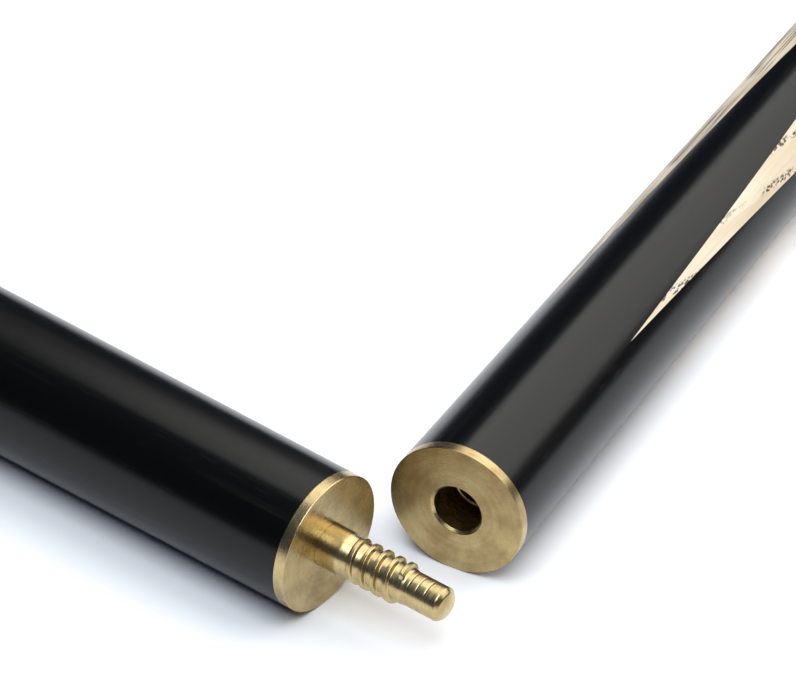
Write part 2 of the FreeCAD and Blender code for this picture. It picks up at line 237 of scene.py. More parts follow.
def turn_about(joint, amount):
    """The 4x4 turn by an angle about a hinge's own line."""
    pivot = Matrix.Translation(joint["pos_m"])
    return pivot @ Matrix.Rotation(amount, 4, Vector(joint["axis"])) @ pivot.inverted()


def butt_place():
    """From home in the socket to where the butt section lies: turned back by the thread's full turn,
    drawn back by the slide's range and swung aside by the swing's range."""
    turn = Matrix.Rotation(-math.radians(JOINTS["thread_turn"]["range_deg"][1]), 4, "X")
    back = JOINTS["draw_in"]["range_m"][1] + sizes().home_gap
    swing = turn_about(JOINTS["joint_swing"], -math.radians(JOINTS["joint_swing"]["range_deg"][1]))
    return swing @ shaft_place() @ Matrix.Translation((-back, 0, 0)) @ turn


# ---- surfaces

# Steps round a bevel, and how much of the shorter run beside it a bevel may take.
BEVEL_STEPS = 4
BEVEL_SHARE = 0.22

# Points nearer than this merge, and shorter edges go.
MERGE_GAP = 2e-7
NO_EDGE = 1e-8


def rounded(corners, bevels):
    """An open outline with rounded corners. Each corner becomes a parabola from one bevel before it to
    one bevel after it, b(t) = (1-t)^2 A + 2t(1-t) P + t^2 C, with one more point a bevel further out on
    each side. The bevel is shortened where a neighbouring run is short."""
    corners = np.asarray(corners, float)
    inner = corners[1:-1]
    before = corners[:-2] - inner
    after = corners[2:] - inner
    run_before = np.linalg.norm(before, axis=1, keepdims=True)
    run_after = np.linalg.norm(after, axis=1, keepdims=True)
    reach = np.minimum(np.asarray(bevels)[:, None], BEVEL_SHARE * np.minimum(run_before, run_after))
    a = inner + before / run_before * reach
    c = inner + after / run_after * reach
    t = np.linspace(0, 1, BEVEL_STEPS + 1)[None, :, None]
    arcs = (1 - t) ** 2 * a[:, None] + 2 * t * (1 - t) * inner[:, None] + t**2 * c[:, None]
    lead = (inner + before / run_before * 2 * reach)[:, None]
    tail = (inner + after / run_after * 2 * reach)[:, None]
    middle = np.concatenate([lead, arcs, tail], axis=1).reshape(-1, 2)
    return np.vstack([corners[:1], middle, corners[-1:]])


def ring_faces(rows, columns):
    """Four-sided faces of a grid whose columns close into a ring: vertex (i, j) is joined to its
    neighbours (i + 1, j) and (i, j + 1), and the last column to the first."""
    i, j = np.meshgrid(np.arange(rows - 1), np.arange(columns), indexing="ij")
    after = (j + 1) % columns
    return np.stack(
        [i * columns + j, i * columns + after, (i + 1) * columns + after, (i + 1) * columns + j], -1
    ).reshape(-1, 4)


def sharpened(mesh, columns, crease_rows, crease_columns):
    """Marks the grid edges sharp that run along a crease row or a crease column."""
    ends = np.empty(len(mesh.edges) * 2, np.int32)
    mesh.edges.foreach_get("vertices", ends)
    row, column = np.divmod(ends.reshape(-1, 2), columns)
    along_column = (column[:, 0] == column[:, 1]) & np.isin(column[:, 0], crease_columns)
    along_row = (row[:, 0] == row[:, 1]) & np.isin(row[:, 0], crease_rows)
    mark = mesh.attributes.new("sharp_edge", "BOOLEAN", "EDGE")
    mark.data.foreach_set("value", along_column | along_row)


def outward(points, faces):
    """The faces, turned over if they point inwards. Six times the volume inside them is the sum of
    a . (b x c + c x d) over the faces (a, b, c, d), and it is negative when they point inwards."""
    a, b, c, d = (points[faces[:, k]] - points.mean(axis=0) for k in range(4))
    six_volumes = np.einsum("ij,ij->", a, np.cross(b, c) + np.cross(c, d))
    return faces if six_volumes > 0 else faces[:, ::-1]


def linked(name, data):
    """A new object in the scene."""
    made = bpy.data.objects.new(name, data)
    bpy.context.scene.collection.objects.link(made)
    return made


def piece(name, points, place, body, material, node, creases=((), ())):
    """The piece that replaces a CAD node, from a grid of points (rows, columns, 3), each row a closed
    ring. Points that coincide merge, so a ring of no radius is a pole, and faces of no area go."""
    rows, columns = points.shape[:2]
    matrix = np.array(place)
    world = points.reshape(-1, 3) @ matrix[:3, :3].T + matrix[:3, 3]
    faces = outward(world, ring_faces(rows, columns))
    mesh = bpy.data.meshes.new(name)
    mesh.from_pydata(world.tolist(), [], faces.tolist())
    mesh.shade_smooth()
    sharpened(mesh, columns, *creases)
    work = bmesh.new()
    work.from_mesh(mesh)
    bmesh.ops.remove_doubles(work, verts=work.verts, dist=MERGE_GAP)
    bmesh.ops.dissolve_degenerate(work, dist=NO_EDGE, edges=work.edges)
    work.to_mesh(mesh)
    work.free()
    mesh.materials.append(material)
    made = linked(name, mesh)
    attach(made, body)
    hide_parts(node)


def angles(count):
    """Evenly spaced angles once round."""
    return np.arange(count) * (2 * math.pi / count)


def polar(radius, angle):
    """(y, z) of a point from its radius and its angle from +Y towards +Z."""
    return np.stack([radius * np.cos(angle), radius * np.sin(angle)], -1)


def stationed(x, yz):
    """Points (x, y, z) from each row's x and the (y, z) in the row."""
    return np.dstack([np.broadcast_to(x[:, None], yz.shape[:2]), yz])


def uneven_lathe(x, radius):
    """A surface about the X axis from each row's x and a radius at every (row, angle):
    (x, r cos a, r sin a)."""
    return stationed(x, polar(radius, angles(radius.shape[1])))


def lathe(outline, sides):
    """A surface turned about the X axis from (x, radius) rows, with so many sides."""
    return uneven_lathe(outline[:, 0], np.broadcast_to(outline[:, 1:], (len(outline), sides)))


THREAD_TAPER = 1 / 30


def ridge_height(x, a, start, end, pitch, phase, top_width, base_width):
    """Height from 0 to 1 of a right-handed helical ridge at (x, angle a). The ridge's middle passes
    x = start at the phase angle and advances one pitch a turn until x = end. Its height is 1 within
    half the top width of its middle, falls smoothly to 0 at half the base width, and tapers off over
    the thread's taper, in turns, at both ends."""
    turn = ((a - phase) / (2 * math.pi)) % 1.0
    turns = (end - start) / pitch
    k = np.clip(np.round((x - start) / pitch - turn), 0, np.floor(turns - turn))
    along = turn + k
    away = np.abs(x - start - pitch * along)
    t = np.clip((base_width / 2 - away) / ((base_width - top_width) / 2), 0, 1)
    taper = np.clip(np.minimum(along, turns - along) / THREAD_TAPER, 0, 1)
    return t * t * (3 - 2 * t) * taper


def grooved(start, end, radius):
    """(x, radius) corners of a sleeve's side from one x to another, with a square glue groove at the
    end of every groove pitch."""
    s = sizes()
    depth, width, pitch = s.groove_depth, s.groove_width, s.groove_pitch
    corners = [(start, radius)]
    for k in range(int((end - start - width) // pitch)):
        far = start + pitch * (k + 1)
        near = far - width
        corners += [(near, radius), (near, radius - depth), (far, radius - depth), (far, radius)]
    return corners + [(end, radius)]


def holed(x0, x1, hole, radius0, radius1):
    """(x, radius) corners of a ring round a hole, from the middle of the hole's wall and back to it."""
    middle = ((x0 + x1) / 2, hole)
    return [middle, (x0, hole), (x0, radius0), (x1, radius1), (x1, hole), middle]


def tool_rings(x, places, depth, width):
    """Depth of the shallow rings that a turning tool leaves: the sum of depth * exp(-((x - p) / w)^2)."""
    away = (x[:, None] - np.array(places)[None, :]) / width
    return depth * np.exp(-(away**2)).sum(axis=1)


# ---- wood

# Each flat's distance from the axis at the splice station, and its rise for each metre along the cue.
SPLICE_STATION = 0.048
WIDE_FLAT = (0.00892, 0.0207)
NARROW_FLAT = (0.00885, 0.0254)

# Where the butt's ash ends, the bores in it and behind it, and the collar's gap to the pin and the wood.
BUTT_CORE_END = -0.290
WEIGHT_BORE = 0.0063
INSERT_RADIUS = 0.0055
INSERT_LENGTH = 0.045
COLLAR_GAP = 0.00002

# The planks in quarter turns from +Z, turning towards -Y.
PLANKS = ("top", "right", "bottom", "left")


def flat_height(flat, x):
    """Distance from the axis to a splice's flat at x. It runs level past the core's end."""
    return flat[0] + flat[1] * (np.maximum(x, BUTT_CORE_END) - SPLICE_STATION)


def meeting(flat):
    """Where a flat runs out at the wood's surface: R - k x = h + m (x - x0)."""
    radius, slope = sizes().joint_radius, shaft_slope()
    return (radius - flat[0] + flat[1] * SPLICE_STATION) / (flat[1] + slope)


def corner_start():
    """Where the core's corners reach the wood's surface: the root of R(x)^2 = a(x)^2 + b(x)^2 that is
    nearest the joint, with R, a and b straight lines in x."""
    radius, slope = sizes().joint_radius, shaft_slope()
    (h, m), (g, n) = WIDE_FLAT, NARROW_FLAT
    h0, g0 = h - m * SPLICE_STATION, g - n * SPLICE_STATION
    quadratic = [
        slope**2 - m**2 - n**2,
        -2 * (radius * slope + m * h0 + n * g0),
        radius**2 - h0**2 - g0**2,
    ]
    return min(root.real for root in np.roots(quadratic) if root.real > 0)


def eased(x0, x1, count):
    """Stations from x0 to x1 that crowd together as a square towards x1, where a surface runs out."""
    return x0 + (x1 - x0) * (1 - (1 - np.linspace(0, 1, count)) ** 2)


def spun(points, angle):
    """Points turned by an angle about the X axis."""
    c, s = math.cos(angle), math.sin(angle)
    y, z = points[..., 1], points[..., 2]
    return np.stack([points[..., 0], y * c - z * s, y * s + z * c], -1)


# Steps along each of the core's corners and flats, and the grid columns of its sharp edges.
CORNER_STEPS = 14
FLAT_STEPS = 6
QUARTER = CORNER_STEPS + FLAT_STEPS - 1
CORE_CREASES = tuple(QUARTER * k + end for k in range(4) for end in (0, CORNER_STEPS - 1))

# Steps round a plank's outside and along its back, and the grid columns of its sharp edges.
ARC_STEPS = 30
BACK_STEPS = 17
PLANK_CREASES = (0, ARC_STEPS - 1, ARC_STEPS, ARC_STEPS + BACK_STEPS + 1)

# A bore too small to show, so that a division by its radius has a result.
NO_BORE = 1e-9


def core_rings(x):
    """Rings of the ash core at stations x. The core is the wood cut by four flats, two at +-b in Y and
    two at +-a in Z. Each ring runs along the four corners between the flats: on the wood's surface from
    one flat to the next where the corner reaches it, and at the point (b, a) where it does not. The
    straight chords between the corners are divided evenly."""
    radius = surface_radius(x)
    high = np.minimum(flat_height(WIDE_FLAT, x), radius)
    side = np.minimum(flat_height(NARROW_FLAT, x), radius)
    inside = np.hypot(high, side) < radius
    low_angle = np.where(inside, np.arctan2(high, side), np.arccos(side / radius))
    high_angle = np.where(inside, low_angle, np.arcsin(high / radius))
    corner_radius = np.where(inside, np.hypot(high, side), radius)
    t = np.linspace(0, 1, CORNER_STEPS)[None, :]
    corner = low_angle[:, None] * (1 - t) + high_angle[:, None] * t
    first = polar(corner_radius[:, None], corner)
    second = first[:, ::-1] * (-1, 1)
    corners = [first, second, -first, -second]
    u = (np.arange(1, FLAT_STEPS) / FLAT_STEPS)[None, :, None]
    ring = []
    for now, after in zip(corners, corners[1:] + corners[:1]):
        ring += [now, now[:, -1:] * (1 - u) + after[:, :1] * u]
    return stationed(x, np.concatenate(ring, axis=1))


def plank_rings(x, flat, other, bore):
    """Rings of a plank that lies on the +Z flat at stations x: round the wood's surface from one side to
    the other and back along the flat. The arc's half angle is acos(a / R), and no more than where the
    neighbouring planks' flats, `other`, cut it off square. Where a bore of radius b runs down the axis,
    the way back follows its circle, z = sqrt(b^2 - y^2), wherever that stands above the flat."""
    radius = surface_radius(x)[:, None]
    height = np.minimum(flat_height(flat, x)[:, None], radius)
    limit = np.arccos(height / radius)
    if other:
        limit = np.minimum(limit, np.arcsin(np.clip(flat_height(other, x)[:, None] / radius, 0, 1)))
    arc = polar(radius, math.pi / 2 - np.linspace(-1, 1, ARC_STEPS)[None, :] * limit)
    edge = radius * np.sin(limit)
    hole = np.maximum(bore[:, None], NO_BORE)
    reach = np.where(hole > height, np.sqrt(np.maximum(hole**2 - height**2, 0)), 0.5 * edge)
    reach = np.minimum(reach, edge)
    t = np.linspace(1, -1, BACK_STEPS)[None, :]
    swing = np.arcsin(np.clip(reach / hole, 0, 1)) * t
    y = np.where(hole > height, hole * np.sin(swing), reach * t)
    y = np.hstack([edge, y, -edge])
    back = np.stack([y, np.maximum(height, np.sqrt(np.maximum(hole**2 - y**2, 0)))], -1)
    return stationed(x, np.concatenate([arc, back], axis=1))


def capped(rings, first=True, last=True):
    """Rings with a point at the middle of the first and last ring, which closes each end."""
    head, tail = (
        np.broadcast_to(end.mean(axis=1, keepdims=True), end.shape) for end in (rings[:1], rings[-1:])
    )
    return np.concatenate([head] * first + [rings] + [tail] * last)


def bored(rings, radius, depth):
    """Rings whose first end has a round blind bore: the floor's middle, the floor, the bore's mouth and
    then the rings. Each point of the mouth lies at its ring point's own angle."""
    face = rings[:1]
    mouth = np.dstack([face[..., 0], polar(radius, np.arctan2(face[..., 2], face[..., 1]))])
    floor = mouth + (depth, 0, 0)
    return np.concatenate([floor * (1, 0, 0), floor, mouth, rings])


# ---- shader maths


class Tree:
    """A material's node tree, which makes nodes and wraps their outputs. Its patterns follow the cue
    section that lies at a place."""

    def __init__(self, name, place=None):
        self.material = bpy.data.materials.new(name)
        self.material.use_nodes = True
        self.nodes = self.material.node_tree.nodes
        self.links = self.material.node_tree.links
        self.nodes.clear()
        self.place = place

    def node(self, kind, settings=None, output=0, **inputs):
        """One node of a kind. Its settings come first, then the values or links of its sockets, named
        or numbered as s0, s1 and so on. Returns the wrapped output, if it has any."""
        made = self.nodes.new(kind)
        for key, value in (settings or {}).items():
            setattr(made, key, value)
        for key, value in inputs.items():
            socket = made.inputs[int(key[1:]) if key[1:].isdigit() else key.replace("_", " ")]
            if isinstance(value, Wire):
                self.links.new(value.socket, socket)
            else:
                socket.default_value = value
        return Wire(self, made.outputs[output]) if made.outputs else None

    def math(self, operation, *values):
        """A Math node of values and wires."""
        inputs = {f"s{i}": value for i, value in enumerate(values)}
        return self.node("ShaderNodeMath", {"operation": operation}, **inputs)

    def along(self, *stretch):
        """The cue's own assembled coordinates, in metres, of a point on a piece: the Object
        coordinates, moved and turned back by the section's placement, then stretched."""
        coordinates = self.node("ShaderNodeTexCoord", output=3)
        move, turn = tuple(self.place.to_translation()), tuple(self.place.to_euler("XYZ"))
        own = self.node(
            "ShaderNodeMapping", {"vector_type": "TEXTURE"}, s0=coordinates, s1=move, s2=turn
        )
        return self.node("ShaderNodeVectorMath", {"operation": "MULTIPLY"}, s0=own, s1=stretch)

    def parts(self):
        """The cue's own x, y and z."""
        x = self.node("ShaderNodeSeparateXYZ", s0=self.along(1.0, 1.0, 1.0))
        return [Wire(self, socket) for socket in x.socket.node.outputs]

    def noise(self, vector, detail, roughness=0.5):
        """Noise from 0 to 1, about one feature to each unit of a vector."""
        return self.node(
            "ShaderNodeTexNoise", Vector=vector, Scale=1.0, Detail=detail, Roughness=roughness
        )

    def grain(self, *stretch, detail=1.0, roughness=0.5):
        """Noise with so many features to the metre along each of the cue's own axes."""
        return self.noise(self.along(*stretch), detail, roughness)

    def turned(self, scale, x, radius, detail, roughness=0.5):
        """Noise that depends only on the distance along and from the axis."""
        spot = self.node("ShaderNodeCombineXYZ", s0=x * scale, s1=radius * scale)
        return self.noise(spot, detail, roughness)

    def cells(self, *stretch):
        """Distance to the nearest of scattered points, so many to the metre along each own axis."""
        return self.node(
            "ShaderNodeTexVoronoi", Vector=self.along(*stretch), Scale=1.0, Randomness=1.0
        )

    def mix(self, factor, first, second):
        """A mix of two colours, each a wire or three parts."""
        first, second = (c if isinstance(c, Wire) else (*c, 1.0) for c in (first, second))
        settings = {"data_type": "RGBA"}
        return self.node("ShaderNodeMix", settings, output=2, s0=factor, s6=first, s7=second)

    def bump(self, height, distance):
        """A bump of a height in units of a distance in metres."""
        return self.node("ShaderNodeBump", Height=height, Distance=distance)

    def surface(self, base, roughness, **inputs):
        """The material. What varies feeds Base Color, Roughness and Normal; the shader's other sockets
        get constants."""
        shader = self.node(
            "ShaderNodeBsdfPrincipled", Base_Color=base, Roughness=roughness, **inputs
        )
        self.node("ShaderNodeOutputMaterial", Surface=shader)
        return self.material


class Wire:
    """A node's output, with arithmetic that adds Math nodes."""

    def __init__(self, tree, socket):
        self.tree = tree
        self.socket = socket

    def math(self, operation, *others):
        """A Math node of this and others."""
        return self.tree.math(operation, self, *others)

    def __add__(self, other):
        return self.math("ADD", other)

    __radd__ = __add__

    def __mul__(self, other):
        return self.math("MULTIPLY", other)

    __rmul__ = __mul__

    def __sub__(self, other):
        return self.math("SUBTRACT", other)

    def __rsub__(self, other):
        return self.tree.math("SUBTRACT", other, self)

    def __truediv__(self, other):
        return self.math("DIVIDE", other)

    def __rtruediv__(self, other):
        return self.tree.math("DIVIDE", other, self)

    def ramp(self, low, high):
        """0 at low, 1 at high and smooth between."""
        settings = {"interpolation_type": "SMOOTHSTEP"}
        return self.tree.node("ShaderNodeMapRange", settings, s0=self, s1=low, s2=high)


def toned(shade, *factors):
    """A colour with its parts scaled, by one factor or by three, to at most 1."""
    return tuple(np.minimum(np.array(shade) * factors, 1.0).tolist())


# ---- finishes

# The ash's growth rings: how many to the metre across and along, the direction across them from +Y
# towards +Z, how far they waver and where the count starts.
RINGS_ACROSS = 185.0
RINGS_ALONG = 31.0
RING_TURN = 0.9
RING_WAVER = 0.9
RING_START = -0.27


def ebony(name, place):
    """Ebony under satin lacquer: nearly black, with faint brown streaks and fine open pores that run
    along the cue, and a slight long ripple from the hand finish."""
    tree, look = Tree(name, place), finish()
    streak = tree.grain(14.0, 420.0, 420.0, detail=3.0).ramp(0.52, 0.78)
    pores = tree.grain(160.0, 3200.0, 3200.0).ramp(0.62, 0.74)
    ripple = tree.grain(30.0, 160.0, 160.0)
    base = tree.mix(streak, look.ebony, look.ebony_streak)
    rough = streak * 0.03 + pores * 0.05 + look.ebony_roughness + ripple * 0.03
    normal = tree.bump(pores * -0.5 + ripple * 0.6, 0.00001)
    return tree.surface(base, rough, Normal=normal, Specular_IOR_Level=0.24)


def ash(name, place):
    """Ash under lacquer. Growth rings are near-flat sheets that lean a little along the cue, so that
    they cut its round in long arrowheads: their count is across * spacing + x * lean + waver. Each
    ring starts with a band of open pores, filled dark, and pales after it. Where a ring lies along the
    surface the pores are cut lengthwise, into long dashes."""
    tree, look = Tree(name, place), finish()
    x, y, z = tree.parts()
    waver = tree.grain(9.0, 60.0, 60.0) - 0.5
    across = y * math.cos(RING_TURN) + z * math.sin(RING_TURN)
    count = across * RINGS_ACROSS + x * RINGS_ALONG + waver * RING_WAVER + RING_START
    ring = count.math("FRACT")
    early = ring.ramp(0.0, 0.04) * (1.0 - ring.ramp(0.16, 0.28))
    clump = tree.grain(110.0, 420.0, 420.0, detail=2.0).ramp(0.34, 0.52)
    pore = (1.0 - tree.cells(1000.0, 2300.0, 2300.0).ramp(0.40, 0.62)) * early * clump
    broad = ring.ramp(0.0, 0.12) * (1.0 - ring.ramp(0.55, 0.95)) * 0.7 + 0.3
    vessel = (1.0 - tree.cells(62.0, 2600.0, 2600.0).ramp(0.42, 0.60)) * broad
    facing = (across.math("ABSOLUTE") / (y * y + z * z).math("SQRT")).ramp(0.62, 0.90)
    pore = pore * (1.0 - facing) + vessel * facing
    tone = tree.grain(18.0, 240.0, 240.0, detail=3.0)
    fibre = tree.grain(90.0, 3600.0, 3600.0, detail=2.0)
    base = tree.mix(tone.ramp(0.3, 0.7), look.ash, look.ash_pale)
    base = tree.mix(ring.ramp(0.45, 0.98) * 0.30, base, toned(look.ash, 0.80, 0.68, 0.50))
    base = tree.mix(fibre.ramp(0.45, 0.75) * 0.22, base, toned(look.ash, 0.70, 0.55, 0.34))
    base = tree.mix(pore * 0.93, base, look.ash_pore)
    rough = pore * 0.22 + look.ash_roughness + fibre * 0.06
    normal = tree.bump(pore * -1.0 + fibre * 0.15, 0.00003)
    return tree.surface(base, rough, Normal=normal, Specular_IOR_Level=0.5)


def brass(name, place, dullness_and_shade, rings=1.0, smoother=0.0):
    """Turned brass: fine ring marks, cloudy dulling, and small scuffs. A higher dullness also darkens a
    piece as painted shade, as on the socket.
    """
    tree, look = Tree(name, place), finish()
    x, y, z = tree.parts()
    radius = (y * y + z * z).math("SQRT")
    marks = tree.turned(5200.0, x, radius, detail=2.0, roughness=0.7)
    broad = tree.turned(1100.0, x, radius, detail=1.0)
    cloud = tree.grain(190.0, 190.0, 190.0, detail=4.0, roughness=0.6)
    scuff = tree.grain(1500.0, 700.0, 2100.0, detail=3.0, roughness=0.65)
    fine = (marks - 0.5) * 0.45 + (broad - 0.5) * 0.5
    # The dullness level is real dulling, and on the socket partly painted shade.
    dull_and_shade = (cloud.ramp(0.34, 0.70) * 0.6 + fine + dullness_and_shade - 0.3).math("MAXIMUM", 0.0)
    base = tree.mix(dull_and_shade.math("MINIMUM", 1.0), look.brass, look.brass_dark)
    rough = (marks - 0.5) * 0.12 + scuff.ramp(0.5, 0.8) * 0.10 + (look.brass_roughness - smoother)
    normal = tree.bump((marks * 0.7 + broad * 0.6) * rings + scuff * 0.12, 0.000012)
    return tree.surface(base, rough + cloud * 0.08, Normal=normal, Metallic=1.0)


def chalked_leather(name, place):
    """Pressed leather with chalk in it: a fibrous, blotched blue that is paler where chalk sits."""
    tree, look = Tree(name, place), finish()
    blotch = tree.grain(900.0, 900.0, 900.0, detail=5.0, roughness=0.7)
    fibre = tree.grain(4200.0, 4200.0, 4200.0, detail=3.0)
    chalk = tuple(part + 0.02 for part in toned(look.leather, 2.4))
    base = tree.mix(blotch.ramp(0.42, 0.72), look.leather, chalk)
    return tree.surface(
        base, fibre * 0.1 + 0.82, Normal=tree.bump(fibre * 0.8 + blotch * 0.5, 0.00006)
    )


def moulded_rubber(name, place):
    """Moulded rubber: matte black with a fine tooth and faint dusty patches."""
    tree, look = Tree(name, place), finish()
    tooth = tree.grain(3800.0, 3800.0, 3800.0, detail=2.0)
    dust = tree.grain(160.0, 160.0, 160.0, detail=4.0).ramp(0.5, 0.8)
    base = tree.mix(dust * 0.5, look.rubber, toned(look.rubber, 3.0))
    return tree.surface(base, dust * 0.15 + 0.62, Normal=tree.bump(tooth, 0.00003))


def plated_steel(name, place):
    """Zinc-plated steel: turned ring marks, a mottled grey and small scratches."""
    tree, look = Tree(name, place), finish()
    x, y, z = tree.parts()
    marks = tree.turned(4200.0, x, (y * y + z * z).math("SQRT"), detail=2.0)
    mottle = tree.grain(700.0, 700.0, 700.0, detail=3.0)
    base = tree.mix(mottle.ramp(0.35, 0.7), look.steel, toned(look.steel, 0.62))
    normal = tree.bump(marks, 0.00001)
    return tree.surface(base, marks * 0.14 + 0.26, Normal=normal, Metallic=1.0)


# ---- operators

# Bevels, from a corner left nearly sharp to the rim of a brass face.
SHARP = 0.00005
STEP = 0.00006
EDGE = 0.0001
RIM = 0.00016
SOFT = 0.0003

# Keeps two corners of an outline apart where a wall is square to the axis.
HAIR = 0.00001

# Sides of the tip's small pieces, and steps along the two threads.
SMALL_SIDES = 96
BORE_STEPS = 190
PIN_STEPS = 330


def plank(section, k, x, bore, place, body, material, ends, creases):
    """The k-th ebony plank of a section, counted in quarter turns from the top. The planks over the
    wide flats lie over the edges of the two others."""
    flat, other = (NARROW_FLAT, WIDE_FLAT) if k % 2 else (WIDE_FLAT, None)
    rings = spun(capped(plank_rings(x, flat, other, bore), *ends), sizes().splice_twist + k * math.pi / 2)
    name, node = f"{section}_ebony_{PLANKS[k]}", f"{section}_splice_{PLANKS[k]}"
    piece(name, rings, place, body, material, node, (creases, PLANK_CREASES))


class MakeShaftWood(bpy.types.Operator):
    """The shaft section's ash with its spear-shaped core, and the four ebony planks on its flats"""

    bl_idname = "cue.shaft_wood"
    bl_label = "Shaft wood"

    def execute(self, context):
        s = sizes()
        place = shaft_place()
        pale = ash("shaft ash", place)
        dark = ebony("shaft ebony", place)
        ferrule = s.shaft_length - s.leather_height - s.ferrule_length
        corner, narrow, wide = corner_start(), meeting(NARROW_FLAT), meeting(WIDE_FLAT)
        square = np.linspace(s.flange, corner, 8)
        runs = [eased(corner, narrow, 60), eased(narrow, wide, 24), np.linspace(wide, ferrule, 60)]
        rings = core_rings(np.concatenate([square, *(run[1:] for run in runs)]))
        tenon = rings[-1:] * (1, s.tenon_radius / s.tip_radius, s.tenon_radius / s.tip_radius)
        end = tenon + (s.ferrule_length, 0, 0)
        rings = bored(np.concatenate([rings, tenon, end]), s.sleeve_radius, s.sleeve_end - s.flange)
        rings = spun(capped(rings, first=False), s.splice_twist)
        last = len(rings) - 1
        creases = ((1, 2, 3, last - 3, last - 2, last - 1), CORE_CREASES)
        piece("ash_shaft_wood", rings, place, SHAFT_BODY, pale, "ash_shaft", creases)
        for k in range(len(PLANKS)):
            x = np.concatenate([square, eased(corner, narrow if k % 2 else wide, 70)[1:]])
            bore = np.zeros(len(x))
            plank("shaft", k, x, bore, place, SHAFT_BODY, dark, (True, False), (1,))
        return {"FINISHED"}


class MakeButtWood(bpy.types.Operator):
    """The butt section's ash core and the four ebony planks on its flats, bored for the weight"""

    bl_idname = "cue.butt_wood"
    bl_label = "Butt wood"

    def execute(self, context):
        s = sizes()
        place = butt_place()
        pale = ash("butt ash", place)
        dark = ebony("butt ebony", place)
        solid = np.linspace(-s.collar - COLLAR_GAP, BUTT_CORE_END, 40)
        hollow = np.linspace(BUTT_CORE_END, -(s.butt_length - s.bumper_thickness), 14)
        rings = bored(core_rings(solid), INSERT_RADIUS, -INSERT_LENGTH)
        rings = spun(capped(rings, first=False), s.splice_twist)
        creases = ((1, 2, 3, len(rings) - 2), CORE_CREASES)
        piece("butt_ash_core", rings, place, BUTT_BODY, pale, "butt_core", creases)
        x = np.concatenate([solid, hollow])
        bore = np.concatenate([np.zeros(len(solid)), np.full(len(hollow), WEIGHT_BORE)])
        creases = (1, len(solid), len(solid) + 1, len(x))
        for k in range(len(PLANKS)):
            plank("butt", k, x, bore, place, BUTT_BODY, dark, (True, True), creases)
        return {"FINISHED"}


class MakeSocket(bpy.types.Operator):
    """The brass socket: its flange, bevelled mouth, counterbore, thread and pilot bore"""

    bl_idname = "cue.socket"
    bl_label = "Socket"

    def execute(self, context):
        s = sizes()
        place = shaft_place()
        side = grooved(s.flange + HAIR, s.sleeve_end, s.sleeve_radius)
        corners = [
            (s.pilot_end + s.drill_point, 0.0),
            (s.pilot_end, s.pilot_radius),
            (s.relief_end, s.pilot_radius),
            (s.relief_end + HAIR, s.major_radius),
            (s.counterbore_depth, s.major_radius),
            (s.counterbore_depth - 2 * EDGE, s.counterbore_radius),
            (s.mouth_radius - s.counterbore_radius, s.counterbore_radius),
            (0.0, s.mouth_radius),
            (0.0, s.joint_radius),
            (s.flange, float(surface_radius(s.flange))),
            *side,
            (s.sleeve_end + HAIR, 0.0),
        ]
        outline = rounded(corners, [SOFT] + [EDGE] * 4 + [STEP, EDGE, RIM, SHARP] + [STEP] * len(side))
        threaded = s.counterbore_depth + EDGE
        inner = outline[: np.argmax(outline[:, 0] < threaded)]
        deep, outer = inner[inner[:, 0] > s.relief_end], outline[len(inner):]
        x = np.linspace(s.relief_end, threaded, BORE_STEPS)
        rows = np.vstack([deep, np.column_stack([x, np.full(len(x), s.major_radius)]), outer])
        ends = (s.bore_thread_start, s.bore_thread_end, s.pitch, s.thread_phase)
        a = angles(s.sides)[None, :]
        ridge = ridge_height(rows[:, :1], a, *ends, s.bore_ridge_top, s.bore_ridge_base)
        in_bore = np.zeros((len(rows), 1))
        in_bore[len(deep): len(deep) + len(x)] = s.major_radius - s.pilot_radius
        points = uneven_lathe(rows[:, 0], rows[:, 1:] - ridge * in_bore)
        # The socket's brass is duller than the pin's partly as a painted reflection: it darkens the face
        # in place of the dark butt and shadow that the face reflects.
        shine = brass("socket brass", place, dullness_and_shade=0.62)
        piece("brass_socket", points, place, SHAFT_BODY, shine, "joint_socket")
        return {"FINISHED"}


